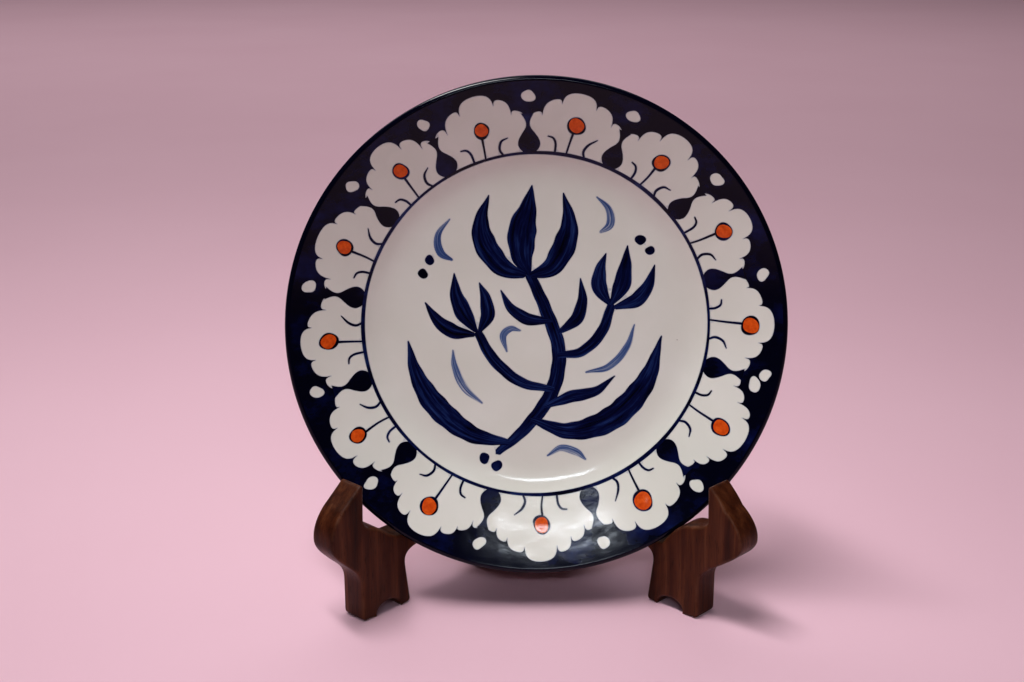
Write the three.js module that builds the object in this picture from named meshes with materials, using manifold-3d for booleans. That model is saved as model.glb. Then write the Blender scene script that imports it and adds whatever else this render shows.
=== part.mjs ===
// Hand painted ceramic plate on a folding wooden plate stand.
// Millimetres. +Z is up, +Y points to the back of the stand, the feet stand on Z = 0.
// The stand is two flat boards joined at the back by two brass butt hinges. Each side is
// drawn as it lies when the stand is shut, then swung open about the hinge axis.

import * as THREE from 'three';
import { mergeVertices } from 'three/addons/utils/BufferGeometryUtils.js';
import ManifoldModule from 'manifold-3d';

const manifoldLib = await ManifoldModule();
manifoldLib.setup();
const { Manifold, Mesh: ManifoldMesh } = manifoldLib;

// ---------------------------------------------------------------- driving dimensions

const GAP = 0.3; // clearance between pieces that touch

// plate
const PLATE_R = 127; // 254 mm across the lip
const PLATE_LEAN = THREE.MathUtils.degToRad(8.7); // leans back on the stand
const PLATE_X = 3.9; // sits a little to the right, because the notches are cut by eye
const PLATE_Y = 34.5; // centre of the lip circle, behind the front foot corners
const PLATE_Z = 145.3; // centre of the lip circle, above the floor
const WELL_R = 72; // painted middle, a shallow dish
const WELL_DISH = 2.5; // how much deeper the middle of the well is than its edge
const RING_R = 88.7; // start of the sloping flange
const RING_H = 4.9; // height of the flange start above the well
const LIP_BEAD_R = 2; // rolled lip
const LIP_H = 16.9; // lip bead centre above the well
const BODY_T = 7; // body thickness at the middle
const FOOT_RING_R = 66.5; // outside of the foot ring
const FOOT_RING_W = 5;
const FOOT_RING_H = 3.3;

// boards, in the board's own plane: u runs back from the front foot corner, z is up
const HALF_OPEN = Math.PI / 4; // each board stands 45 degrees off the middle plane
const FOOT_SPREAD = 85.2; // middle plane to a front inner foot corner
const BOARD_T = 15.5;
const LEG_W = 33;
const FOOT_PAD = 9; // flat in front of the small foot arch
const FOOT_ARCH_W = 17;
const FOOT_ARCH_H = 6;
const ARM_UNDER_Z = 31; // underside of the arm between the legs
const SEAT_U = 24.5; // front end of the notch floor
const SEAT_W = 6;
// the boards are cut by hand: seatZ is the notch floor, restU the front edge of the upright
// where the foot ring leans on it, reach the prong in front of the leg, and tipU the back of
// the prong's tip
const BOARDS = {
  left: { side: -1, seatZ: 40.2, restU: 76, reach: 18.5, tipU: 3 },
  right: { side: 1, seatZ: 35.3, restU: 77.2, reach: 25, tipU: -3.5 },
};
const BACKREST_Z = 86; // height where the foot ring leans on the upright
const BACKREST_SLOPE = 0.215; // the upright follows the lean of the plate
const UPRIGHT_TOP_Z = 196;
const UPRIGHT_ROUND = 11; // height of the rounded top

// hinges, drawn with the hinge axis on the z axis; side is -1 for left and +1 for right
const BARREL_R = 2.6;
const PIN_R = 1.2;
const PIN_HEAD_R = 2.1;
const PIN_HEAD_H = 0.8;
const LEAF_W = 12.5; // from the hinge axis
const LEAF_H = 30;
const LEAF_T = 1.2;
const KNUCKLES = 3; // even ones on the left leaf, odd ones on the right leaf
const HINGE_Z = { lower: 40, upper: 156 }; // middle of each hinge

// screws
const SCREW_HEAD_R = 1.9;
const SCREW_R = 1;
const SCREW_HEAD_H = 0.9;
const SCREW_L = 12;
const SCREW_PITCH = 18; // between the two screws of a leaf
const SLOT_W = 0.5;
const SLOT_D = 0.35;

const AXIS_OFFSET = BARREL_R + GAP; // board end to hinge axis
const SIN = Math.SQRT1_2;
const BOARD_L = FOOT_SPREAD / SIN - GAP / 2 - AXIS_OFFSET; // foot corner to board end
const AXIS_Y = (AXIS_OFFSET + BOARD_L - GAP / 2) * SIN; // hinge axis behind the foot corners
const LEAF_SCREW_X = (BARREL_R + LEAF_W) / 2;

// ---------------------------------------------------------------- materials

const glaze = new THREE.MeshStandardMaterial({
  name: 'glazed_ceramic', color: 0xe6e1d8, roughness: 0.12, metalness: 0,
});
const wood = new THREE.MeshStandardMaterial({
  name: 'dark_wood', color: 0x4a2316, roughness: 0.5, metalness: 0,
});
const brass = new THREE.MeshStandardMaterial({
  name: 'brass', color: 0xb08d45, roughness: 0.35, metalness: 1,
});

// ---------------------------------------------------------------- solids

function toManifold(geometry) {
  const plain = new THREE.BufferGeometry();
  plain.setAttribute('position', geometry.getAttribute('position'));
  if (geometry.index) plain.setIndex(geometry.index);
  const merged = mergeVertices(plain, 1e-4);
  return new Manifold(new ManifoldMesh({
    numProp: 3,
    vertProperties: new Float32Array(merged.getAttribute('position').array),
    triVerts: new Uint32Array(merged.index.array),
  }));
}

function toGeometry(solid) {
  const mesh = solid.getMesh();
  const geometry = new THREE.BufferGeometry();
  geometry.setAttribute('position', new THREE.BufferAttribute(mesh.vertProperties, 3));
  geometry.setIndex(new THREE.BufferAttribute(mesh.triVerts, 1));
  geometry.computeVertexNormals();
  return geometry;
}

function namedMesh(name, geometry, material) {
  const mesh = new THREE.Mesh(geometry, material);
  mesh.name = name;
  return mesh;
}

// ---------------------------------------------------------------- plate

// Half section of the plate: x is the radius, y is the height above the well.
function plateSection() {
  const lipR = PLATE_R - LIP_BEAD_R;
  const footTop = -BODY_T - 0.4;
  const footBottom = -BODY_T - FOOT_RING_H;
  const path = new THREE.Path();
  path.moveTo(0, -WELL_DISH);
  path.quadraticCurveTo(0.55 * WELL_R, -WELL_DISH, WELL_R, 0);
  path.bezierCurveTo(WELL_R + 8, 0.6, RING_R - 4.5, RING_H - 2.4, RING_R, RING_H);
  path.bezierCurveTo(RING_R + 12, RING_H + 4.6, lipR - 11, LIP_H - 2.6, lipR - 1.4, LIP_H + 1.4);
  path.absarc(lipR, LIP_H, LIP_BEAD_R, 0.75 * Math.PI, -0.3 * Math.PI, true);
  path.bezierCurveTo(lipR - 10, LIP_H - 8, RING_R + 14, RING_H - 1, RING_R, -1.4);
  path.bezierCurveTo(RING_R - 8, -4.8, FOOT_RING_R + 9, footTop + 0.6, FOOT_RING_R + 1.5, footTop);
  path.lineTo(FOOT_RING_R, footBottom);
  path.lineTo(FOOT_RING_R - FOOT_RING_W, footBottom);
  path.lineTo(FOOT_RING_R - FOOT_RING_W - 1.5, -BODY_T);
  path.lineTo(0, -BODY_T);
  return path.getPoints(4).reverse();
}

function plate() {
  const geometry = toGeometry(toManifold(new THREE.LatheGeometry(plateSection(), 84)));
  const mesh = namedMesh('plate', geometry, glaze);
  mesh.rotation.x = Math.PI - PLATE_LEAN;
  mesh.position.set(
    PLATE_X,
    PLATE_Y + LIP_H * Math.cos(PLATE_LEAN),
    PLATE_Z - LIP_H * Math.sin(PLATE_LEAN),
  );
  return mesh;
}

// ---------------------------------------------------------------- boards

function footArch(shape, from) {
  const r = FOOT_ARCH_W / 2;
  shape.lineTo(from, 0);
  shape.absellipse(from + r, 0, r, FOOT_ARCH_H, Math.PI, 0, true);
}

function boardShape({ seatZ, restU, reach, tipU }) {
  const rearLeg = BOARD_L - LEG_W;
  const topU = restU + BACKREST_SLOPE * (UPRIGHT_TOP_Z - UPRIGHT_ROUND - BACKREST_Z);
  const shape = new THREE.Shape();
  shape.moveTo(0, 0);
  footArch(shape, FOOT_PAD);
  shape.lineTo(LEG_W, 0);
  // back of the front leg, underside of the arm, front of the rear leg
  shape.lineTo(LEG_W - 3, 22);
  shape.bezierCurveTo(LEG_W - 3.6, 27, LEG_W - 2, 30, LEG_W + 6, ARM_UNDER_Z);
  shape.bezierCurveTo(LEG_W + 18, ARM_UNDER_Z + 5, rearLeg - 18, ARM_UNDER_Z + 5, rearLeg - 6, ARM_UNDER_Z);
  shape.bezierCurveTo(rearLeg + 2, 30, rearLeg + 3.6, 27, rearLeg + 3, 22);
  shape.lineTo(rearLeg, 0);
  footArch(shape, BOARD_L - FOOT_PAD - FOOT_ARCH_W);
  shape.lineTo(BOARD_L, 0);
  // hinge edge and rounded top of the upright
  shape.lineTo(BOARD_L, UPRIGHT_TOP_Z - UPRIGHT_ROUND);
  const midU = (BOARD_L + topU) / 2;
  shape.quadraticCurveTo(BOARD_L, UPRIGHT_TOP_Z, midU, UPRIGHT_TOP_Z);
  shape.quadraticCurveTo(topU, UPRIGHT_TOP_Z, topU, UPRIGHT_TOP_Z - UPRIGHT_ROUND);
  // front of the upright, top of the arm, notch
  shape.lineTo(restU, BACKREST_Z);
  shape.quadraticCurveTo(restU - 21, 54.5, SEAT_U + SEAT_W, seatZ);
  shape.lineTo(SEAT_U, seatZ);
  shape.bezierCurveTo(18.6, 42, 15, 48.5, 8, 50);
  shape.quadraticCurveTo(tipU + 1, 51, tipU - 0.6, 55.5);
  // prong that keeps the plate from sliding off
  shape.lineTo(tipU, 73);
  shape.quadraticCurveTo(tipU - 0.4, 76, tipU - 3.2, 73.8);
  shape.quadraticCurveTo(tipU - 8, 69.5, -0.6 * reach, 64.5);
  shape.bezierCurveTo(-0.9 * reach, 59, -1.04 * reach, 53, -reach, 47);
  shape.bezierCurveTo(-0.95 * reach, 42, -0.72 * reach, 38.5, -0.52 * reach, 34.8);
  shape.bezierCurveTo(-0.3 * reach, 30.8, -0.5, 28, 0, 21);
  return shape;
}

function board(name, cut) {
  const { side } = cut;
  const slab = new THREE.ExtrudeGeometry(boardShape(cut), {
    depth: BOARD_T, bevelEnabled: false, curveSegments: 8,
  });
  // sketch plane to the plane x = 0, board end at the hinge side, thickness outwards
  slab.rotateX(Math.PI / 2);
  slab.rotateZ(Math.PI / 2);
  slab.translate(GAP / 2, -AXIS_OFFSET - BOARD_L, 0);
  let solid = toManifold(slab);
  if (side < 0) solid = solid.mirror([1, 0, 0]);
  for (const z of Object.values(HINGE_Z)) {
    for (const dz of [-1, 1]) {
      const hole = Manifold.cylinder(SCREW_L + 1, SCREW_R + GAP, SCREW_R + GAP, 20)
        .rotate([90, 0, 0])
        .translate([side * LEAF_SCREW_X, -AXIS_OFFSET + 0.5, z + (dz * SCREW_PITCH) / 2]);
      solid = solid.subtract(hole);
    }
  }
  return namedMesh(name, toGeometry(solid), wood);
}

// ---------------------------------------------------------------- hinges

// Screw pointing to -y with its flat head on the plane y = 0, grown by the given margin.
function screwSolid(margin) {
  const tip = 2;
  const r = SCREW_R + margin;
  const points = [
    [0, margin], [SCREW_HEAD_R + margin, margin], [SCREW_HEAD_R + margin, 0],
    [r, -SCREW_HEAD_H], [r, tip - SCREW_L], [0, -SCREW_L],
  ].map(([x, y]) => new THREE.Vector2(x, y));
  const profile = margin > 0 ? points : points.slice(0, 1).concat(points.slice(2));
  return toManifold(new THREE.LatheGeometry(profile.reverse(), 20));
}

function screwPlaces(side, z) {
  return [-1, 1].map((dz) => [
    side * LEAF_SCREW_X, LEAF_T - BARREL_R, z + (dz * SCREW_PITCH) / 2,
  ]);
}

function screw(name, place) {
  const slot = Manifold.cube([2 * SCREW_HEAD_R + 1, 2 * SLOT_D, SLOT_W], true);
  const solid = screwSolid(0).subtract(slot.rotate([0, 25, 0])).translate(place);
  return namedMesh(name, toGeometry(solid), brass);
}

function leaf(name, side, z) {
  const step = (LEAF_H + GAP) / KNUCKLES;
  const rod = (radius, height, z0) => Manifold.cylinder(height, radius, radius, 32)
    .translate([0, 0, z0]);
  let solid = Manifold.cube([LEAF_W, LEAF_T, LEAF_H])
    .translate([side < 0 ? -LEAF_W : 0, -BARREL_R, 0]);
  for (let i = 0; i < KNUCKLES; i += 1) {
    const own = i % 2 === (side < 0 ? 0 : 1);
    if (own) solid = solid.add(rod(BARREL_R, step - GAP, i * step));
    else solid = solid.subtract(rod(BARREL_R + GAP, step + GAP, i * step - GAP));
  }
  solid = solid.subtract(rod(PIN_R + GAP, LEAF_H + 2, -1)).translate([0, 0, z - LEAF_H / 2]);
  for (const place of screwPlaces(side, z)) {
    solid = solid.subtract(screwSolid(GAP).translate(place));
  }
  return namedMesh(name, toGeometry(solid), brass);
}

function pin(name, z) {
  const half = LEAF_H / 2 + GAP;
  const section = new THREE.Path();
  section.moveTo(0, -half - PIN_HEAD_H);
  section.quadraticCurveTo(PIN_HEAD_R, -half - PIN_HEAD_H, PIN_HEAD_R, -half);
  section.lineTo(PIN_R, -half);
  section.lineTo(PIN_R, half);
  section.lineTo(PIN_HEAD_R, half);
  section.quadraticCurveTo(PIN_HEAD_R, half + PIN_HEAD_H, 0, half + PIN_HEAD_H);
  const lathe = new THREE.LatheGeometry(section.getPoints(4), 24).rotateX(Math.PI / 2);
  return namedMesh(name, toGeometry(toManifold(lathe.translate(0, 0, z))), brass);
}

// ---------------------------------------------------------------- assembly

const group = new THREE.Group();
group.name = 'hand_painted_ceramic_plate';

for (const [sideName, cut] of Object.entries(BOARDS)) {
  const { side } = cut;
  const pieces = [board(`${sideName}_board`, cut)];
  for (const [level, z] of Object.entries(HINGE_Z)) {
    pieces.push(leaf(`${level}_hinge_${sideName}_leaf`, side, z));
    screwPlaces(side, z).forEach((place, i) => {
      pieces.push(screw(`${level}_hinge_${sideName}_screw_${i + 1}`, place));
    });
    if (side < 0) pieces.push(pin(`${level}_hinge_pin`, z));
  }
  for (const piece of pieces) {
    piece.rotation.z = side * HALF_OPEN;
    piece.position.y = AXIS_Y;
    group.add(piece);
  }
}
group.add(plate());

// the middle of the footprint is the origin
group.updateMatrixWorld(true);
const centre = new THREE.Box3().setFromObject(group, true).getCenter(new THREE.Vector3());
for (const mesh of group.children) mesh.position.sub(new THREE.Vector3(centre.x, centre.y, 0));

export default group;
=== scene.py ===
"""Looks for the hand painted ceramic plate on its folding wooden stand.

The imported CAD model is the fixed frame. The plate is rebuilt as one fine glazed mesh whose
front carries the painting as real outlines, the two boards get rounded edges and wood grain,
and the brass hinges keep their CAD shape. The painting and the boards are laid out in
millimetres in their own planes; everything that reaches Blender is in metres.
"""

import math
import random

import bpy
import numpy as np
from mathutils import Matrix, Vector
from mathutils.geometry import delaunay_2d_cdt
from mathutils.kdtree import KDTree


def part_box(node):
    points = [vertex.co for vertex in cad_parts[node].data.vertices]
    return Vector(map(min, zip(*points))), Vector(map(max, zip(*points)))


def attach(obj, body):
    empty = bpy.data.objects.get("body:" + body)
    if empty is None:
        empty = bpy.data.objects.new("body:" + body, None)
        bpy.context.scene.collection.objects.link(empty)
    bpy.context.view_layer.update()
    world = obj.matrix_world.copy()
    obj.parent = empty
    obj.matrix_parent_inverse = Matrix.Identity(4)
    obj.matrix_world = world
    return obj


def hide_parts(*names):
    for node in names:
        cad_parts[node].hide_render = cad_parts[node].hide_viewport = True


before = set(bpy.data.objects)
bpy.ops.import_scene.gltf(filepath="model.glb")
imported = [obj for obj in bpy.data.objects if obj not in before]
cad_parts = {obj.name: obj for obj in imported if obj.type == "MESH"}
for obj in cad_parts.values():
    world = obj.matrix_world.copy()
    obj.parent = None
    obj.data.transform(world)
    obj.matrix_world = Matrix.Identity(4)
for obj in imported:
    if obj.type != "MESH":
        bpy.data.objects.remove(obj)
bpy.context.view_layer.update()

MM = 0.001
rng = random.Random(11)


# ---------------------------------------------------------------- curves and outlines


def bezier(control, count):
    """Points along a Bezier curve of any order, the start left out."""
    points = []
    for i in range(1, count + 1):
        t = i / count
        row = [np.array(p, float) for p in control]
        while len(row) > 1:
            row = [a * (1 - t) + b * t for a, b in zip(row, row[1:])]
        points.append(row[0])
    return points


def arc(centre, radius, start, end, count):
    """Points along an arc, angles in radians, the start left out."""
    angles = np.linspace(start, end, count + 1)[1:]
    return [np.array([centre[0] + radius * math.cos(a), centre[1] + radius * math.sin(a)]) for a in angles]


def clock(degrees, radius):
    """The point at that angle clockwise from the top of the plate."""
    a = math.radians(degrees)
    return np.array([radius * math.sin(a), radius * math.cos(a)])


def smooth_path(points, step):
    """A curve through the points, sampled about every step; columns after the second follow along."""
    p = [np.array(q, float) for q in points]
    p = [2 * p[0] - p[1]] + p + [2 * p[-1] - p[-2]]
    out = [p[1]]
    for a, b, c, d in zip(p, p[1:], p[2:], p[3:]):
        count = max(2, int(np.linalg.norm((c - b)[:2]) / step))
        for i in range(1, count + 1):
            t = i / count
            out.append(0.5 * (2 * b + (c - a) * t + (2 * a - 5 * b + 4 * c - d) * t ** 2
                              + (3 * b - a - 3 * c + d) * t ** 3))
    return np.array(out)


def resample(loop, step):
    """A closed outline with its long sides cut into pieces no longer than step."""
    out = []
    for a, b in zip(loop, np.roll(loop, -1, axis=0)):
        count = max(1, math.ceil(np.linalg.norm(b - a) / step))
        out += [a + (b - a) * i / count for i in range(count)]
    return np.array(out)


def inside(points, outline):
    """Which of the points lie in the closed outline, by the even-odd rule."""
    hit = np.zeros(len(points), bool)
    low, high = outline.min(0), outline.max(0)
    near = np.where(((points >= low) & (points <= high)).all(1))[0]
    x, y = points[near, 0], points[near, 1]
    odd = np.zeros(len(near), bool)
    for (x0, y0), (x1, y1) in zip(outline, np.roll(outline, -1, axis=0)):
        if y0 != y1:
            odd ^= ((y0 > y) != (y1 > y)) & (x < (x1 - x0) * (y - y0) / (y1 - y0) + x0)
    hit[near] = odd
    return hit


def tree_of(points):
    """A search tree over flat points."""
    tree = KDTree(len(points))
    for i, p in enumerate(points):
        tree.insert((p[0], p[1], 0), i)
    tree.balance()
    return tree


def triangulate(outlines, rim, spacing, clearance):
    """Fills the rim with triangles whose sides follow every outline. Returns points and triangles."""
    points, edges = [], []
    for loop in outlines:
        first, count = len(points), len(loop)
        points += [tuple(p) for p in loop]
        edges += [(first + i, first + (i + 1) % count) for i in range(count)]
    tree = tree_of(points)
    low, high = rim.min(0), rim.max(0)
    rows = int((high[1] - low[1]) / (spacing * 0.866))
    grid = []
    for row in range(1, rows + 1):
        y = low[1] + row * spacing * 0.866
        grid += [(x, y) for x in np.arange(low[0] + spacing * (0.5 + 0.5 * (row % 2)), high[0], spacing)]
    grid = np.array(grid)
    kept = [tuple(p) for p in grid[inside(grid, rim)] if tree.find((p[0], p[1], 0))[2] > clearance]
    flat = [Vector(p) for p in points + kept]
    made = delaunay_2d_cdt(flat, edges, [], 0, 1e-5, False)
    xy, triangles = np.array([tuple(v) for v in made[0]]), np.array(made[2])
    centres = xy[triangles].mean(1)
    return xy, triangles[inside(centres, rim)]


# ---------------------------------------------------------------- node trees


class Shader:
    """A material's node tree, with short calls for the nodes that the materials below share."""

    def __init__(self, name):
        self.material = bpy.data.materials.new(name)
        self.material.use_nodes = True
        self.tree = self.material.node_tree
        self.surface = self.tree.nodes["Principled BSDF"]

    def add(self, kind, inputs=None, **settings):
        node = self.tree.nodes.new("ShaderNode" + kind)
        for key, value in settings.items():
            setattr(node, key, value)
        for key, value in (inputs or {}).items():
            self.feed(node.inputs[key], value)
        return node

    def feed(self, socket, value):
        if isinstance(value, bpy.types.NodeSocket):
            self.tree.links.new(value, socket)
        else:
            socket.default_value = value

    def math(self, operation, *values, clamp=False):
        node = self.add("Math", dict(enumerate(values)), operation=operation, use_clamp=clamp)
        return node.outputs[0]

    def mix(self, share, a, b, blend="MIX"):
        inputs = {0: share, 6: a, 7: b}
        return self.add("Mix", inputs, data_type="RGBA", blend_type=blend).outputs[2]

    def ramp(self, value, stops):
        node = self.add("ValToRGB", {0: value})
        marks = node.color_ramp.elements
        while len(marks) < len(stops):
            marks.new(0.5)
        for mark, (place, color) in zip(marks, stops):
            mark.position = place
            mark.color = color
        return node.outputs[0]

    def steps(self, value, low, high):
        """0 under low, 1 over high and a smooth climb between them."""
        inputs = {"Value": value, "From Min": low, "From Max": high}
        return self.add("MapRange", inputs, interpolation_type="SMOOTHSTEP").outputs[0]

    def attribute(self, name):
        return self.add("Attribute", attribute_name=name)

    def noise(self, vector, scale, detail=3.0, roughness=0.5):
        inputs = {"Vector": vector, "Scale": scale, "Detail": detail, "Roughness": roughness}
        return self.add("TexNoise", inputs).outputs[0]

    def stretch(self, vector, x, y, z):
        inputs = {"Vector": vector, "Scale": (x, y, z)}
        return self.add("Mapping", inputs, vector_type="POINT").outputs[0]

    def finish(self, **values):
        for key, value in values.items():
            self.feed(self.surface.inputs[key.replace("_", " ")], value)
        return self.material


def gray(value):
    return (value, value, value, 1)


def glazed_ceramic():
    """White slip with painted cobalt and orange under a clear gloss glaze; buff clay where unglazed."""
    s = Shader("glazed_ceramic_painted")
    place = s.add("TexCoord").outputs["Object"]
    brush = s.attribute("brush").outputs["Vector"]
    ink = s.attribute("ink").outputs["Fac"]
    orange = s.attribute("orange").outputs["Fac"]
    edge = s.attribute("edge").outputs["Fac"]
    bare = s.attribute("bare").outputs["Fac"]
    behind = s.attribute("behind").outputs["Fac"]

    # slip: faint clouds and a few iron specks
    clouds = s.noise(place, 22, 4)
    slip = s.ramp(clouds, [(0.3, (0.80, 0.80, 0.71, 1)), (0.7, (0.86, 0.86, 0.78, 1))])
    cells = s.add("TexVoronoi", {"Vector": place, "Scale": 95.0})
    lone = s.math("GREATER_THAN", s.add("SeparateColor", {0: cells.outputs["Color"]}).outputs[0], 0.93)
    dot = s.math("SUBTRACT", 1.0, s.steps(cells.outputs["Distance"], 0.012, 0.034))
    slip = s.mix(s.math("MULTIPLY", s.math("MULTIPLY", lone, dot), 0.7), slip, (0.10, 0.065, 0.045, 1))

    # cobalt: brush streaks run along each stroke, pigment pools and thins in patches
    streaks = s.noise(s.stretch(brush, 0.035, 2.3, 1.0), 1.0, 4, 0.65)
    patches = s.noise(place, 48, 3)
    density = s.math("ADD", ink, s.math("MULTIPLY", s.math("SUBTRACT", streaks, 0.52), 1.15))
    density = s.math("ADD", density, s.math("MULTIPLY", s.math("SUBTRACT", patches, 0.5), 0.35))
    painted = s.math("GREATER_THAN", ink, 0.02)
    bleed = s.math("MULTIPLY", s.math("SUBTRACT", 1.0, s.steps(edge, 0.0, 0.7)), 0.13)
    wander = s.noise(place, 160, 3)
    over_lip = s.math("SUBTRACT", s.math("MULTIPLY", wander, 4.0), behind)
    lip_paint = s.steps(over_lip, 0.0, 0.35)
    density = s.math("MULTIPLY", s.math("MAXIMUM", density, 0.1), painted)
    density = s.math("MAXIMUM", s.math("MAXIMUM", density, bleed), lip_paint, clamp=True)
    thin = s.math("MINIMUM", s.math("DIVIDE", density, 0.3), 1.0)
    cobalt = s.ramp(density, [
        (0.10, (0.36, 0.41, 0.50, 1)), (0.42, (0.075, 0.13, 0.30, 1)), (0.62, (0.018, 0.040, 0.15, 1)),
        (0.80, (0.0035, 0.0070, 0.055, 1)), (1.0, (0.0006, 0.0007, 0.010, 1)),
    ])
    color = s.mix(thin, slip, cobalt)

    # orange slip: thicker, mottled, a little darker where it thins
    mottle = s.noise(place, 420, 4, 0.6)
    clay = s.ramp(mottle, [(0.3, (0.62, 0.075, 0.008, 1)), (0.7, (0.86, 0.155, 0.018, 1))])
    color = s.mix(orange, color, clay)

    # bare foot ring
    buff = s.ramp(s.noise(place, 300, 5, 0.7), [(0.3, (0.36, 0.22, 0.13, 1)), (0.7, (0.52, 0.36, 0.23, 1))])
    color = s.mix(bare, color, buff)

    uneven = s.noise(place, 70, 3)
    gloss = s.add("MapRange", {"Value": uneven, "To Min": 0.07, "To Max": 0.17}).outputs[0]
    rough = s.math("MAXIMUM", gloss, s.math("MULTIPLY", bare, 0.85))
    ripple = s.math("ADD", s.math("MULTIPLY", s.noise(place, 55, 2), 1.0),
                    s.math("MULTIPLY", s.noise(place, 330, 2), 0.10))
    ripple = s.math("ADD", ripple, s.math("MULTIPLY", s.math("MULTIPLY", density, streaks), 0.05))
    bump = s.add("Bump", {"Strength": 0.35, "Distance": 0.0006, "Height": ripple})
    return s.finish(Base_Color=color, Roughness=rough, IOR=1.46, Specular_IOR_Level=0.34,
                    Normal=bump.outputs[0])


def dark_wood():
    """Dark oiled sheesham: streaky heartwood along the board's height, open pores, worn edges."""
    s = Shader("dark_wood_oiled")
    plank = s.attribute("plank").outputs["Vector"]
    worn = s.attribute("worn").outputs["Fac"]
    bend = s.add("TexNoise", {"Vector": s.stretch(plank, 0.02, 0.02, 0.006), "Scale": 1.0, "Detail": 2.0})
    moved = s.add("VectorMath", {0: bend.outputs["Color"], "Scale": 14.0}, operation="SCALE").outputs[0]
    bent = s.add("VectorMath", {0: plank, 1: moved}, operation="ADD").outputs[0]
    streaks = s.noise(s.stretch(bent, 0.16, 0.22, 0.007), 1.0, 5, 0.6)
    fine = s.noise(s.stretch(bent, 0.9, 1.1, 0.03), 1.0, 4, 0.6)
    pores = s.noise(s.stretch(plank, 2.4, 2.8, 0.10), 1.0, 2, 0.5)
    base = s.ramp(streaks, [
        (0.28, (0.024, 0.0056, 0.0020, 1)), (0.46, (0.062, 0.0150, 0.0052, 1)),
        (0.60, (0.100, 0.030, 0.0110, 1)), (0.75, (0.16, 0.058, 0.025, 1)),
    ])
    base = s.mix(0.55, base, s.ramp(fine, [(0.3, gray(0.62)), (0.7, gray(1.25))]), "MULTIPLY")
    pore = s.steps(pores, 0.60, 0.68)
    base = s.mix(s.math("MULTIPLY", pore, 0.75), base, (0.004, 0.0012, 0.0008, 1))
    rub = s.math("MULTIPLY", worn, s.steps(s.noise(plank, 0.12, 4, 0.6), 0.35, 0.65))
    base = s.mix(s.math("MULTIPLY", rub, 0.45), base, (0.17, 0.075, 0.042, 1))
    rough = s.add("MapRange", {"Value": fine, "From Min": 0.3, "From Max": 0.7,
                               "To Min": 0.30, "To Max": 0.50})
    rough = s.math("ADD", rough.outputs[0], s.math("MULTIPLY", pore, 0.25))
    height = s.math("SUBTRACT", s.math("MULTIPLY", fine, 0.35), pore)
    bump = s.add("Bump", {"Strength": 0.5, "Distance": 0.00012, "Height": height})
    return s.finish(Base_Color=base, Roughness=rough, IOR=1.45, Specular_IOR_Level=0.24,
                    Normal=bump.outputs[0])


def old_brass():
    """Satin brass with brown tarnish in patches and fine scratches."""
    s = Shader("brass_tarnished")
    place = s.add("TexCoord").outputs["Object"]
    patches = s.noise(place, 130, 5, 0.65)
    base = s.ramp(patches, [
        (0.32, (0.11, 0.055, 0.018, 1)), (0.50, (0.40, 0.23, 0.065, 1)), (0.70, (0.62, 0.40, 0.13, 1)),
    ])
    scratch = s.noise(s.stretch(place, 900, 900, 60), 1.0, 3)
    rough = s.add("MapRange", {"Value": patches, "From Min": 0.3, "From Max": 0.7,
                               "To Min": 0.52, "To Max": 0.26})
    bump = s.add("Bump", {"Strength": 0.3, "Distance": 0.00005, "Height": scratch})
    return s.finish(Base_Color=base, Metallic=1.0, Roughness=rough.outputs[0], Normal=bump.outputs[0])


def pale_floor():
    """Smooth pale paper, slightly pink, with very faint mottling."""
    s = Shader("pale_paper")
    place = s.add("TexCoord").outputs["Object"]
    color = s.ramp(s.noise(place, 3, 3), [(0.3, (0.79, 0.505, 0.59, 1)), (0.7, (0.81, 0.525, 0.61, 1))])
    return s.finish(Base_Color=color, Roughness=0.9)


# ---------------------------------------------------------------- plate: shape

PLATE_R = 127.0
LIP_BEAD_R = 2.0
LIP_H = 16.9
WELL_R = 72.0
WELL_DISH = 2.5
RING_R = 88.7
RING_H = 4.9
BODY_T = 7.0
FOOT_RING_R = 66.5
FOOT_RING_W = 5.0
FOOT_RING_H = 3.3
FOOT_BEAD = 0.7
LIP_R = PLATE_R - LIP_BEAD_R
LIP_START = math.radians(113.4)
LIP_END = math.radians(-54)
LIP_STEPS = 16
ROUND = 384
DOT_RISE = 0.15
# Slow waves by which the front is out of true: height in mm, turns along x and y in radians per mm,
# and phase.
WARPS = ((0.12, 0.031, 0.012, 0.4), (0.10, -0.018, 0.037, 2.1), (0.03, 0.071, 0.052, 1.0))


def front_section():
    """Radius and height of the painted front, from the middle to the start of the lip."""
    lip = (LIP_R + LIP_BEAD_R * math.cos(LIP_START), LIP_H + LIP_BEAD_R * math.sin(LIP_START))
    points = [np.array([0, -WELL_DISH])]
    points += bezier([(0, -WELL_DISH), (0.55 * WELL_R, -WELL_DISH), (WELL_R, 0)], 60)
    points += bezier([(WELL_R, 0), (WELL_R + 8, 0.6), (RING_R - 4.5, RING_H - 2.4), (RING_R, RING_H)], 40)
    points += bezier([(RING_R, RING_H), (RING_R + 12, RING_H + 4.6), (LIP_R - 11, LIP_H - 2.6), lip], 60)
    return np.array(points)


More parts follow.
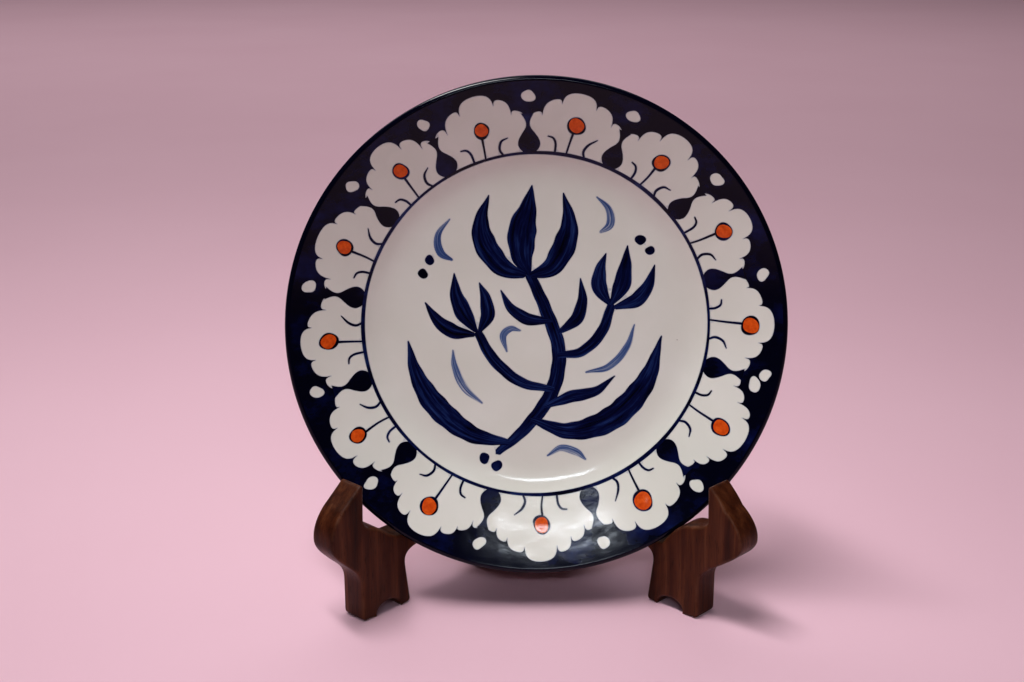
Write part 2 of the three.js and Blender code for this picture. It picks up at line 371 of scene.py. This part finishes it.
def back_section():
    """Radius and height from the start of the lip, over the edge and back to the middle."""
    foot_top, foot_bottom = -BODY_T - 0.4, -BODY_T - FOOT_RING_H
    inner = FOOT_RING_R - FOOT_RING_W
    points = arc((LIP_R, LIP_H), LIP_BEAD_R, LIP_START, LIP_END, LIP_STEPS)
    points += bezier([points[-1], (LIP_R - 10, LIP_H - 8), (RING_R + 14, RING_H - 1), (RING_R, -1.4)], 16)
    points += bezier([(RING_R, -1.4), (RING_R - 8, -4.8), (FOOT_RING_R + 9, foot_top + 0.6),
                      (FOOT_RING_R + 1.5, foot_top)], 10)
    points += bezier([(FOOT_RING_R + 1.5, foot_top), (FOOT_RING_R, foot_top - 0.2),
                      (FOOT_RING_R, foot_bottom + FOOT_BEAD)], 5)
    points += arc((FOOT_RING_R - FOOT_BEAD, foot_bottom + FOOT_BEAD), FOOT_BEAD, 0, -math.pi / 2, 5)
    points += [np.array([inner + FOOT_BEAD, foot_bottom])]
    points += arc((inner + FOOT_BEAD, foot_bottom + FOOT_BEAD), FOOT_BEAD, -math.pi / 2, -math.pi, 5)
    points += bezier([(inner, foot_bottom + FOOT_BEAD), (inner, -BODY_T), (inner - 3, -BODY_T)], 6)
    points += [np.array([r, -BODY_T]) for r in (50.0, 36.0, 22.0, 9.0)]
    return np.array(points)


FRONT = front_section()
FRONT_SLOPE = np.gradient(FRONT[:, 1], FRONT[:, 0])
FRONT_R = FRONT[-1, 0]


def front_height(x, y, dots):
    """Height of the painted front, and its slope along x and y: the thrown shape, its slight
    unevenness, faint throwing rings, and the small rise of each orange dot."""
    r = np.maximum(np.hypot(x, y), 1e-6)
    fade = np.clip((FRONT_R - r) / 15, 0, 1)
    along = np.interp(r, FRONT[:, 0], FRONT_SLOPE) + fade * 0.006 * np.cos(0.45 * r)
    height = np.interp(r, FRONT[:, 0], FRONT[:, 1])
    dx, dy = along * x / r, along * y / r
    for amp, kx, ky, phase in WARPS:
        turn = kx * x + ky * y + phase
        height += fade * amp * np.sin(turn)
        dx += fade * amp * kx * np.cos(turn)
        dy += fade * amp * ky * np.cos(turn)
    for centre, radius in dots:
        ox, oy = x - centre[0], y - centre[1]
        rest = np.clip(1 - (ox ** 2 + oy ** 2) / radius ** 2, 0, 1)
        height += DOT_RISE * rest ** 2
        dx -= 4 * DOT_RISE * rest * ox / radius ** 2
        dy -= 4 * DOT_RISE * rest * oy / radius ** 2
    return height, dx, dy


def plate_place():
    """The CAD plate's middle, and its directions right, up and out of the dish, as numpy."""
    co = np.array([v.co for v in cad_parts["plate"].data.vertices], float)
    out = np.linalg.svd(co - co.mean(0), full_matrices=False)[2][2]
    out *= -np.sign(out[1])
    right = np.array([1.0, 0.0, 0.0])
    up = np.cross(out, right)
    across, tall, deep = co @ right, co @ up, co @ out
    middle = right * (across.min() + across.max()) / 2 + up * (tall.min() + tall.max()) / 2
    return middle + out * (deep.max() - (LIP_H + LIP_BEAD_R) * MM), right, up, out


# ---------------------------------------------------------------- plate: painting

NAVY, SLIP, ORANGE = "navy", "slip", "orange"
BUD_ANGLES = (-2.5, 24, 50, 75, 103, 134, 163, 195, 226, 253, 280, 307, 331.5)
BLOTTED_SPOT = 103
# Distance from the middle and radius of the orange dot of each flower, clockwise from the top.
DOTS = (
    (104.0, 3.7), (104.5, 3.5), (106.5, 3.6), (109.0, 3.9), (108.0, 3.8), (106.0, 4.4), (103.5, 3.7),
    (108.0, 3.9), (107.0, 3.4), (106.0, 3.7), (105.5, 3.4), (105.0, 3.3), (103.5, 3.2),
)
BAND_R = 103.5
RING_LINE_W = 1.6
OUTLINE_STEP = 0.6  # along a stroke
OUTLINE_CUT = 1.0  # longest side of an outline in the mesh
GRID = 1.7  # between the points that fill the front
GRID_CLEAR = 0.5  # from a filling point to an outline
FAR = 100.0  # stands for nowhere near, in mm

painting = []


def paint(outline, color, ink=0.0, path=None):
    """Adds one painted shape on top of those before it. A path gives the brush direction."""
    painting.append({"outline": np.array(outline), "color": color, "ink": ink, "path": path,
                     "seed": len(painting) * 1.7})


def blob(centre, radius, color, ink=0.0, wobble=0.06, stretch=1.0, turn=0.0, count=30):
    """A hand-made round spot: a circle with a few slow waves."""
    phases = [rng.uniform(0, 2 * math.pi) for _ in range(3)]
    points = []
    for a in np.linspace(0, 2 * math.pi, count, endpoint=False):
        grow = 1 + sum(wobble / (k + 1) * math.sin((k + 2) * a + phases[k]) for k in range(3))
        x, y = radius * grow * math.cos(a) * stretch, radius * grow * math.sin(a) / stretch
        points.append(centre + np.array([x * math.cos(turn) - y * math.sin(turn),
                                         x * math.sin(turn) + y * math.cos(turn)]))
    paint(points, color, ink)


def stroke(points, ink):
    """One brush stroke through points (x, y, width) with softly rounded ends."""
    path = smooth_path(points, OUTLINE_STEP)
    tangent = np.gradient(path[:, :2], axis=0)
    tangent /= np.linalg.norm(tangent, axis=1)[:, None]
    side = np.stack([-tangent[:, 1], tangent[:, 0]], 1)
    half = np.maximum(path[:, 2], 0.25)[:, None] / 2
    waver = 1 + 0.035 * np.sin(np.arange(len(path)) * 0.37 + rng.uniform(0, 6))[:, None]
    left, right = path[:, :2] + side * half * waver, path[:, :2] - side * half / waver
    tips = [path[0, :2] - tangent[0] * half[0] * 0.8, path[-1, :2] + tangent[-1] * half[-1] * 0.8]
    outline = np.vstack([tips[0][None], left, tips[1][None], right[::-1]])
    paint(outline, NAVY, ink, path)


def band():
    """The dark band: from the flowers out to the start of the lip."""
    turn = np.linspace(0, 2 * math.pi, ROUND, endpoint=False)
    paint(np.stack([FRONT_R * np.cos(turn), FRONT_R * np.sin(turn)], 1), NAVY, 1.0)
    paint([clock(a, BAND_R - 1.5) for a in np.arange(0, 360, 0.8)], SLIP)


def flower(first, last):
    """A white fan of five or seven rounded petals between two buds."""
    axis, half = (first + last) / 2, (last - first) / 2
    cuts, notches, tops = [0.33, 0.68, 0.985], [113.4, 108.0, 103.4], [120.6, 115.4, 109.6]
    if half > 14.5:
        cuts = [0.28, 0.54, 0.79, 0.985]
        notches = [114.5, 110.4, 106.2, 103.4]
        tops = [121.6, 117, 112.6, 108]
    marks = [(axis + half * cuts[-1], notches[-1])]
    peaks = []
    for side in (1, -1):
        order = list(zip(cuts, notches))[:-1]
        places = [(axis + side * half * (cut + rng.uniform(-0.03, 0.03)), notch + rng.uniform(-0.7, 0.7))
                  for cut, notch in order]
        heights = [top + rng.uniform(-0.9, 0.9) for top in tops[1:]]
        marks += places[::-1] if side > 0 else places
        peaks += heights[::-1] + [tops[0] + rng.uniform(-1.2, 0.8)] if side > 0 else heights
    marks.append((axis - half * cuts[-1], notches[-1]))
    outline = [clock(axis + half, BAND_R - 2.5)]
    for (a0, r0), (a1, r1), top in zip(marks, marks[1:], peaks):
        for share in np.linspace(0, 1, 17)[:-1]:
            bulge = (top - (r0 + r1) / 2) * math.sin(math.pi * share) ** 0.62
            turn = share - 0.09 * math.sin(2 * math.pi * share)
            outline.append(clock(a0 + (a1 - a0) * turn, r0 + (r1 - r0) * share + bulge))
    outline += [clock(*marks[-1]), clock(axis - half, BAND_R - 2.5)]
    paint(outline, SLIP)
    return axis


def bud(angle):
    """A dark drop hanging from the band to the ring line."""
    lean = rng.uniform(-0.5, 0.5)
    wide = rng.uniform(5.0, 5.7)
    sides = [(108.5, 3.2), (105.6, 1.5), (103.2, 0.9), (101, 1.5), (98.5, 3.3), (95.5, wide * 0.93),
             (92.8, wide), (90.4, wide * 0.78), (88.6, wide * 0.42)]
    left = smooth_path([(r, -w) for r, w in sides], 0.7)
    right = smooth_path([(r, w) for r, w in sides], 0.7)
    points = np.vstack([left, right[::-1]])
    outline = [clock(angle + lean * (108 - r) / 20 + math.degrees(w / r), r) for r, w in points]
    paint(outline, NAVY, 0.97)


def stamen(axis, r, radius):
    """The orange dot with its dark outline, on a thin stem from the ring line."""
    lean = rng.uniform(-0.6, 0.6)
    centre = clock(axis + lean, r)
    stem = [(*clock(axis - 1.1, RING_R), 0.9), (*clock(axis - 0.6, 95), 1.0),
            (*clock(axis + lean - 0.4, r - 3), 1.3)]
    stroke(stem, 0.93)
    turn = rng.uniform(0, 3)
    blob(centre + clock(axis, -0.25), radius + 0.85, NAVY, 0.98, 0.05, 1.03, turn, 40)
    blob(centre, radius, ORANGE, 0.0, 0.05, 1.02, turn, 36)
    return centre, radius


def tendrils(axis, half):
    """The hooked line on the left of a flower and the leaning one on its right."""
    reach = half / 13.5
    a = axis - rng.uniform(4.6, 5.4) * reach
    high = rng.uniform(95.0, 98.0)
    stroke([(*clock(a, RING_R), 1.1), (*clock(a - 0.1, high - 3.5), 1.15),
            (*clock(a - 1.0, high - 0.8), 1.05), (*clock(a - 2.6, high), 0.7)], 0.9)
    a = axis + rng.uniform(3.8, 4.6) * reach
    high = rng.uniform(97.0, 100.0)
    stroke([(*clock(a + 0.9, RING_R), 1.0), (*clock(a, RING_R + 3.4), 1.25),
            (*clock(a + 0.9, RING_R + 7.2), 1.15), (*clock(a + 3.0, high), 0.5)], 0.9)


def border():
    """The band with its thirteen flowers, buds, tendrils and spots. Returns the orange dots."""
    band()
    pairs = list(zip(BUD_ANGLES, BUD_ANGLES[1:] + (BUD_ANGLES[0] + 360,)))
    axes = [flower(first, last) for first, last in pairs]
    for angle in BUD_ANGLES:
        bud(angle)
        spread = [(-2.2, 119.0), (1.6, 115.2)] if angle == BLOTTED_SPOT else [(0.6, 116.4)]
        for off, r in spread:
            place = clock(angle + off + rng.uniform(-0.9, 0.9), r + rng.uniform(-1, 1))
            blob(place, rng.uniform(2.8, 3.5), SLIP, 0.0, 0.1, rng.uniform(0.95, 1.15), rng.uniform(0, 3))
    dots = []
    for axis, (first, last), (r, radius) in zip(axes, pairs, DOTS):
        dots.append(stamen(axis, r, radius))
        tendrils(axis, (last - first) / 2)
    turn = np.arange(0, 360, 0.6)
    wave = [0.15 * math.sin(math.radians(3 * a)) + 0.08 * math.sin(math.radians(11 * a)) for a in turn]
    paint([clock(a, RING_R + w + RING_LINE_W / 2) for a, w in zip(turn, wave)], NAVY, 0.88)
    paint([clock(a, RING_R - w * 0.6 - RING_LINE_W / 2) for a, w in zip(turn, wave)], SLIP)
    return dots


# Bold strokes of the flower spray in the well: (x, y, width) from the middle of the plate.
SPRAY = [
    [(-20, -67, 3.0), (-6, -55, 5.0), (8, -36, 6.2), (12, -14, 6.0), (5, 8, 5.4), (-3, 26, 4.2)],
    [(-4, 27, 3.0), (-7, 36, 9.5), (-7, 49, 12.0), (-4, 61, 7.0), (-2, 72, 0.5)],
    [(-6, 26, 3.0), (-17, 30, 8.0), (-26, 42, 9.6), (-28, 54, 6.2), (-24, 67, 0.5)],
    [(-2, 26, 3.0), (8, 30, 8.0), (15, 42, 9.8), (17, 54, 6.2), (14, 68, 0.5)],
    [(12, -16, 2.5), (24, -14, 4.2), (34, -4, 4.6), (39, 10, 3.6)],
    [(38, 11, 2.0), (33, 19, 6.5), (33, 28, 5.0), (36, 37, 0.5)],
    [(39, 11, 2.0), (44, 20, 7.2), (46, 30, 5.4), (47, 41, 0.5)],
    [(41, 9, 2.0), (52, 13, 6.2), (58, 21, 4.6), (61, 31, 0.5)],
    [(9, -34, 2.5), (-8, -30, 4.4), (-22, -18, 4.8), (-30, -4, 3.6)],
    [(-29, -3, 2.0), (-25, 5, 6.0), (-26, 14, 4.6), (-29, 22, 0.5)],
    [(-31, -3, 2.0), (-37, 6, 7.2), (-41, 16, 5.4), (-42, 27, 0.5)],
    [(-32, -5, 2.0), (-43, -3, 6.2), (-51, 3, 4.6), (-57, 12, 0.5)],
    [(-2, -50, 2.4), (18, -56, 7.4), (40, -49, 10.6), (57, -30, 8.4), (65, -6, 0.6)],
    [(-14, -62, 2.4), (-34, -57, 7.6), (-52, -42, 9.8), (-62, -25, 6.0), (-66, -8, 0.6)],
    [(12, -4, 1.8), (21, 3, 5.4), (24, 13, 4.2), (23, 24, 0.5)],
    [(8, 2, 1.8), (-4, 3, 5.2), (-13, 9, 3.8), (-18, 18, 0.5)],
    [(5, -43, 1.8), (18, -38, 5.2), (31, -35, 4.0), (41, -27, 0.5)],
]

# Lighter blue touches between them.
TOUCHES = [
    [(-44, 55, 0.6), (-50, 47, 3.0), (-49, 38, 4.0), (-43, 34, 1.2)],
    [(31, 66, 0.6), (37, 60, 3.0), (38, 52, 4.0), (33, 48, 1.2)],
    [(-15, -14, 0.8), (-17, -6, 3.4), (-13, -2, 3.0), (-8, -3, 0.8)],
    [(26, -25, 0.8), (38, -22, 3.4), (47, -12, 3.2), (51, 0, 0.6)],
    [(-28, -41, 0.8), (-37, -33, 3.6), (-42, -22, 3.2), (-43, -13, 0.6)],
    [(6, -69, 0.8), (13, -65, 3.2), (21, -67, 3.6), (26, -71, 0.8)],
]

BOLD = 1.2

BERRIES = [(-58, 27), (-54.5, 34), (53.5, 44), (58.5, 38.5), (-27, -70), (-20.5, -74)]


def spray():
    """The free brush ornament in the well."""
    for points in TOUCHES:
        stroke(points, 0.40)
    for points in SPRAY:
        stroke([(x, y, width * BOLD) for x, y, width in points], 0.84)
    for place in BERRIES:
        blob(np.array(place, float), rng.uniform(2.3, 2.8), NAVY, 0.88, 0.08)


# ---------------------------------------------------------------- plate: mesh


def brush_map(points, path):
    """For points in a stroke: millimetres along it and -1 to 1 across it."""
    tree = tree_of(path)
    tangent = np.gradient(path[:, :2], axis=0)
    tangent /= np.linalg.norm(tangent, axis=1)[:, None]
    length = np.concatenate([[0], np.cumsum(np.linalg.norm(np.diff(path[:, :2], axis=0), axis=1))])
    near = np.array([tree.find((p[0], p[1], 0))[1] for p in points])
    away = points - path[near, :2]
    along = length[near] + (away * tangent[near]).sum(1)
    across = tangent[near, 0] * away[:, 1] - tangent[near, 1] * away[:, 0]
    return along, across / np.maximum(path[near, 2] / 2, 0.4)


def paint_triangles(xy, triangles):
    """The corner values ink, orange and brush of every front triangle, from the painting."""
    centres = xy[triangles].mean(1)
    layer = np.full(len(triangles), -1)
    for i, shape in enumerate(painting):
        layer[inside(centres, shape["outline"])] = i
    corners = xy[triangles].reshape(-1, 2)
    owner = np.repeat(layer, 3)
    ink, orange = np.zeros(len(corners)), np.zeros(len(corners))
    brush = np.stack([corners[:, 0], corners[:, 1] * 0.02, np.zeros(len(corners))], 1)
    for i, shape in enumerate(painting):
        mine = owner == i
        ink[mine] = shape["ink"]
        orange[mine] = shape["color"] == ORANGE
        brush[mine, 2] = shape["seed"]
        if shape["path"] is not None and mine.any():
            along, across = brush_map(corners[mine], shape["path"])
            brush[mine, 0], brush[mine, 1] = along, across
    return ink, orange, brush


def paint_edge(xy, triangles, ink, orange):
    """Distance in millimetres from every corner to the nearest change of paint."""
    kind = (ink[::3] > 0) + 2 * orange[::3]
    seen = {}
    border_points = set()
    for face, row in enumerate(triangles):
        for a, b in zip(row, np.roll(row, -1)):
            key = (min(a, b), max(a, b))
            if seen.setdefault(key, face) != face and kind[seen[key]] != kind[face]:
                border_points.update(key)
    tree = tree_of(xy[sorted(border_points)])
    apart = np.array([tree.find((p[0], p[1], 0))[2] for p in xy])
    return apart[triangles].reshape(-1)


def new_piece(name, points, faces, normals, body, slot, material, *nodes):
    """A smooth mesh object in place of CAD nodes, riding on their body."""
    mesh = bpy.data.meshes.new(name)
    mesh.from_pydata(points.tolist(), [], [list(map(int, f)) for f in faces])
    mesh.polygons.foreach_set("use_smooth", [True] * len(mesh.polygons))
    if normals is not None:
        mesh.normals_split_custom_set_from_vertices(normals.tolist())
    mesh.materials.append(material)
    piece = bpy.data.objects.new(name, mesh)
    bpy.context.scene.collection.objects.link(piece)
    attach(piece, body)
    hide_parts(*nodes)
    return piece


def store(mesh, domain, name, values):
    """Keeps numbers or vectors on the mesh for a material to read."""
    vector = values.ndim == 2
    attribute = mesh.attributes.new(name, "FLOAT_VECTOR" if vector else "FLOAT", domain)
    attribute.data.foreach_set("vector" if vector else "value", values.astype(np.float32).ravel())


def painted_plate():
    """The whole plate as one closed mesh."""
    dots = border()
    spray()
    turn = np.linspace(0, 2 * math.pi, ROUND, endpoint=False)
    ring = np.stack([np.cos(turn), np.sin(turn)], 1)
    rim = ring * FRONT_R
    outlines = [rim] + [resample(shape["outline"], OUTLINE_CUT) for shape in painting[1:]]
    xy, triangles = triangulate(outlines, rim, GRID, GRID_CLEAR)
    ink, orange, brush = paint_triangles(xy, triangles)
    edge = paint_edge(xy, triangles, ink, orange)

    origin, right, up, out = plate_place()
    height, dx, dy = front_height(xy[:, 0], xy[:, 1], dots)
    points = [np.outer(xy[:, 0], right) + np.outer(xy[:, 1], up) + np.outer(height, out)]
    normals = [out - np.outer(dx, right) - np.outer(dy, up)]

    # rings over the lip and across the back
    section = back_section()
    step = np.gradient(np.vstack([FRONT[-1], section]), axis=0)[1:]
    spokes = np.outer(ring[:, 0], right) + np.outer(ring[:, 1], up)
    for (r, a), (dr, da) in zip(section, step):
        points.append(spokes * r + out * a)
        normals.append(-da * spokes + dr * out)
    points.append(out[None] * section[-1, 1])
    normals.append(-out[None])
    points, normals = np.vstack(points), np.vstack(normals)
    normals /= np.linalg.norm(normals, axis=1)[:, None]

    on_rim = tree_of(xy)
    loops = [np.array([on_rim.find((p[0], p[1], 0))[1] for p in rim])]
    loops += [len(xy) + k * ROUND + np.arange(ROUND) for k in range(len(section))]
    faces = [tuple(t) for t in triangles]
    pieces = np.linalg.norm(np.diff(np.vstack([FRONT[-1], section]), axis=0), axis=1)
    travelled = np.concatenate([[0], np.cumsum(pieces)])
    lip_length = travelled[LIP_STEPS]
    behind, bare = [FAR] * (3 * len(triangles)), [0.0] * (3 * len(triangles))
    foot_bottom = -BODY_T - FOOT_RING_H
    heights = np.concatenate([[FRONT[-1, 1]], section[:, 1]])
    for k, (a, b) in enumerate(zip(loops, loops[1:])):
        for i in range(ROUND):
            j = (i + 1) % ROUND
            faces.append((a[i], b[i], b[j], a[j]))
            behind += [travelled[k] - lip_length, travelled[k + 1] - lip_length] * 2
            bare += [float(heights[k] < foot_bottom + 0.5 and heights[k + 1] < foot_bottom + 0.5)] * 4
    middle = len(points) - 1
    for i in range(ROUND):
        faces.append((loops[-1][i], middle, loops[-1][(i + 1) % ROUND]))
        behind += [FAR] * 3
        bare += [0.0] * 3
    rest = len(behind) - 3 * len(triangles)
    points = origin + points * MM
    piece = new_piece("plate_painted", points, faces, normals, "plate", "glazed_ceramic",
                      glazed_ceramic(), "plate")
    mesh = piece.data
    store(mesh, "CORNER", "ink", np.concatenate([ink, np.zeros(rest)]))
    store(mesh, "CORNER", "orange", np.concatenate([orange, np.zeros(rest)]))
    store(mesh, "CORNER", "brush", np.vstack([brush, np.zeros((rest, 3))]))
    store(mesh, "CORNER", "edge", np.concatenate([edge, np.full(rest, FAR)]))
    store(mesh, "CORNER", "behind", np.array(behind))
    store(mesh, "CORNER", "bare", np.array(bare))


# ---------------------------------------------------------------- boards

BOARD_L = 117.44
BOARD_T = 15.5
LEG_W = 33.0
FOOT_PAD = 9.0
FOOT_ARCH_W = 17.0
FOOT_ARCH_H = 6.0
ARM_UNDER_Z = 31.0
SEAT_U = 24.5
SEAT_W = 6.0
BACKREST_Z = 86.0
BACKREST_SLOPE = 0.215
UPRIGHT_TOP_Z = 196.0
UPRIGHT_ROUND = 11.0
EDGE_ROUND = 1.7
BACK_ROUND = 0.7
FOOT_CORNER = 3.0
SAW_STEP = 1.6  # longest side of the sawn outline
CAP_GRID = 5.0
CAP_CLEAR = 1.5
BOARDS = {
    "left": {"side": -1, "seat_z": 40.2, "rest_u": 76.0, "reach": 18.5, "tip_u": 3.0},
    "right": {"side": 1, "seat_z": 35.3, "rest_u": 77.2, "reach": 25.0, "tip_u": -3.5},
}


def board_outline(seat_z, rest_u, reach, tip_u):
    """The sawn outline in the board's plane: along it from the front foot, and up."""
    rear = BOARD_L - LEG_W
    top_u = rest_u + BACKREST_SLOPE * (UPRIGHT_TOP_Z - UPRIGHT_ROUND - BACKREST_Z)
    shoulder = UPRIGHT_TOP_Z - UPRIGHT_ROUND
    points = [np.array([0, FOOT_CORNER], float)]

    def line(*place):
        points.append(np.array(place, float))

    def curve(*control):
        points.extend(bezier([points[-1], *control], 14))

    def foot_arch(start):
        radius = FOOT_ARCH_W / 2
        for a in np.linspace(math.pi, 0, 15):
            line(start + radius + radius * math.cos(a), FOOT_ARCH_H * math.sin(a))

    curve((0, 0), (FOOT_CORNER, 0))
    foot_arch(FOOT_PAD)
    line(LEG_W - FOOT_CORNER, 0)
    curve((LEG_W, 0), (LEG_W - 0.4, FOOT_CORNER))
    line(LEG_W - 3, 22)
    curve((LEG_W - 3.6, 27), (LEG_W - 2, 30), (LEG_W + 6, ARM_UNDER_Z))
    curve((LEG_W + 18, ARM_UNDER_Z + 5), (rear - 18, ARM_UNDER_Z + 5), (rear - 6, ARM_UNDER_Z))
    curve((rear + 2, 30), (rear + 3.6, 27), (rear + 3, 22))
    line(rear + 0.4, FOOT_CORNER)
    curve((rear, 0), (rear + FOOT_CORNER, 0))
    foot_arch(BOARD_L - FOOT_PAD - FOOT_ARCH_W)
    line(BOARD_L - BACK_ROUND, 0)
    line(BOARD_L, BACK_ROUND)
    line(BOARD_L, shoulder)
    curve((BOARD_L, UPRIGHT_TOP_Z), ((BOARD_L + top_u) / 2, UPRIGHT_TOP_Z))
    curve((top_u, UPRIGHT_TOP_Z), (top_u, shoulder))
    line(rest_u, BACKREST_Z)
    curve((rest_u - 21, 54.5), (SEAT_U + SEAT_W, seat_z))
    line(SEAT_U, seat_z)
    curve((18.6, 42), (15, 48.5), (8, 50))
    curve((tip_u + 1, 51), (tip_u - 0.6, 55.5))
    line(tip_u, 73)
    curve((tip_u - 0.4, 76), (tip_u - 3.2, 73.8))
    curve((tip_u - 8, 69.5), (-0.6 * reach, 64.5))
    curve((-0.9 * reach, 59), (-1.04 * reach, 53), (-reach, 47))
    curve((-0.95 * reach, 42), (-0.72 * reach, 38.5), (-0.52 * reach, 34.8))
    curve((-0.3 * reach, 30.8), (-0.5, 28), (0, 21))
    return resample(np.array(points), SAW_STEP)


def edge_rounding(outline):
    """For each outline point its inward direction and how far an edge may be rounded there."""
    ahead, back = np.roll(outline, -1, axis=0), np.roll(outline, 1, axis=0)
    tangent = ahead - back
    tangent /= np.linalg.norm(tangent, axis=1)[:, None]
    inward = np.stack([-tangent[:, 1], tangent[:, 0]], 1)
    tree = tree_of(resample(outline, 0.15))
    room = np.where(outline[:, 0] > BOARD_L - 2, BACK_ROUND, EDGE_ROUND)
    for i, (p, d) in enumerate(zip(outline, inward)):
        while room[i] > 0.05:
            q = p + d * room[i]
            if tree.find((q[0], q[1], 0))[2] > 0.93 * room[i] - 0.08:
                break
            room[i] *= 0.85
    for _ in range(3):
        room = np.minimum(room, (np.roll(room, 1) + room + np.roll(room, -1)) / 3)
    return inward, room


def board(name, cut, material):
    """One board with rounded edges: outline, quarter-round rings on both faces, filled faces."""
    side = cut["side"]
    outline = board_outline(cut["seat_z"], cut["rest_u"], cut["reach"], cut["tip_u"])
    inward, room = edge_rounding(outline)
    count = len(outline)
    turns = np.radians([90, 67.5, 45, 22.5, 0])
    loops, plank, worn = [], [], []

    def add_loop(inset, depth, wear):
        flat = outline + inward * inset[:, None]
        loops.append(sum(len(p) for p in plank))
        plank.append(np.stack([flat[:, 0], np.broadcast_to(depth, count), flat[:, 1]], 1))
        worn.append(np.full(count, wear))

    for t in turns:
        add_loop(room * (1 - math.cos(t)), room * (1 - math.sin(t)), math.sin(2 * t))
    for share in (0.33, 0.67):
        add_loop(room * 0, room + (BOARD_T - 2 * room) * share, 0.0)
    for t in turns[::-1]:
        add_loop(room * (1 - math.cos(t)), BOARD_T - room * (1 - math.sin(t)), math.sin(2 * t))

    faces = []
    for a, b in zip(loops, loops[1:]):
        for i in range(count):
            j = (i + 1) % count
            faces.append((a + j, a + i, b + i, b + j))
    for loop, depth, flip in ((loops[0], 0.0, False), (loops[-1], BOARD_T, True)):
        cap = plank[0][:, [0, 2]]
        xy, triangles = triangulate([cap], cap, CAP_GRID, CAP_CLEAR)
        tree = tree_of(cap)
        index = []
        extra = []
        for p in xy:
            found = tree.find((p[0], p[1], 0))
            if found[2] < 1e-3:
                index.append(loop + found[1])
            else:
                index.append(sum(len(q) for q in plank) + len(extra))
                extra.append((p[0], depth, p[1]))
        plank.append(np.array(extra))
        worn.append(np.zeros(len(extra)))
        for a, b, c in triangles:
            faces.append((index[a], index[c], index[b]) if flip else (index[a], index[b], index[c]))
    plank, worn = np.vstack(plank), np.concatenate(worn)

    low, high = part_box(name)
    half = math.sqrt(0.5)
    back_x = high.x if side < 0 else low.x
    u, w = plank[:, 0] * MM, plank[:, 1] * MM
    x = back_x - side * half * (u - BOARD_L * MM - w)
    y = high.y + half * (u + w - (BOARD_L + BOARD_T) * MM)
    points = np.stack([x, y, plank[:, 2] * MM], 1)
    if side > 0:
        faces = [f[::-1] for f in faces]
    body = f"{'left' if side < 0 else 'right'}_side"
    piece = new_piece(f"{name}_wood", points, faces, None, body, "dark_wood", material, name)
    mesh = piece.data
    shift = plank + np.array([60.0 * side, 0, 30.0 * side])
    store(mesh, "POINT", "plank", shift)
    store(mesh, "POINT", "worn", worn)


# ---------------------------------------------------------------- stage, lights, camera


def floor():
    turn = np.linspace(0, 2 * math.pi, 96, endpoint=False)
    mesh = bpy.data.meshes.new("floor")
    mesh.from_pydata([(25 * math.cos(a), 25 * math.sin(a), -0.0002) for a in turn], [], [list(range(96))])
    mesh.materials.append(pale_floor())
    made = bpy.data.objects.new("floor", mesh)
    bpy.context.scene.collection.objects.link(made)


def softbox(name, place, target, size, power, spread, color=(1, 1, 1)):
    """An area light with a grid: spread is the angle in degrees that its light stays within."""
    data = bpy.data.lights.new(name, "AREA")
    data.shape = "RECTANGLE"
    data.size, data.size_y = size
    data.energy = power
    data.color = color
    data.spread = math.radians(spread)
    light = bpy.data.objects.new(name, data)
    light.location = place
    light.rotation_euler = (Vector(target) - Vector(place)).to_track_quat("-Z", "Y").to_euler()
    bpy.context.scene.collection.objects.link(light)


def lights():
    """A long box overhead, a slim one whose reflection lies on the plate's lower flange, and one
    for the paper behind."""
    softbox("key", (-0.36, -0.18, 1.36), (0.0, 0.05, 0.10), (1.0, 0.17), 5.6, 115)
    softbox("glint", (-0.005, -1.064, 0.672), (0.03, -0.04, 0.03), (0.34, 0.07), 0.12, 40, (0.84, 0.92, 1.0))
    softbox("backdrop", (-0.6, 2.2, 2.6), (-0.6, 3.0, 0.0), (4.0, 2.0), 48, 180)
    world = bpy.data.worlds.new("studio")
    world.use_nodes = True
    world.node_tree.nodes["Background"].inputs["Color"].default_value = (0.80, 0.74, 0.76, 1)
    world.node_tree.nodes["Background"].inputs["Strength"].default_value = 0.06
    bpy.context.scene.world = world


def camera():
    """The photograph's view: a short telephoto a little above the plate, 17.8 degrees down."""
    data = bpy.data.cameras.new("camera")
    data.sensor_width = 36
    data.lens = 52.73
    data.clip_start, data.clip_end = 0.05, 60
    made = bpy.data.objects.new("camera", data)
    made.location = (-0.0253, -0.7260, 0.3714)
    made.rotation_euler = (math.pi / 2 - 0.3103, 0, -0.0175)
    bpy.context.scene.collection.objects.link(made)
    bpy.context.scene.camera = made


painted_plate()
wood = dark_wood()
for side_name, shape in BOARDS.items():
    board(f"{side_name}_board", shape, wood)
brass = old_brass()
for node_name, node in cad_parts.items():
    if "hinge" in node_name:
        node.material_slots[0].material = brass
floor()
lights()
camera()
bpy.context.scene.view_settings.view_transform = "Standard"
bpy.context.scene.view_settings.look = "Medium High Contrast"
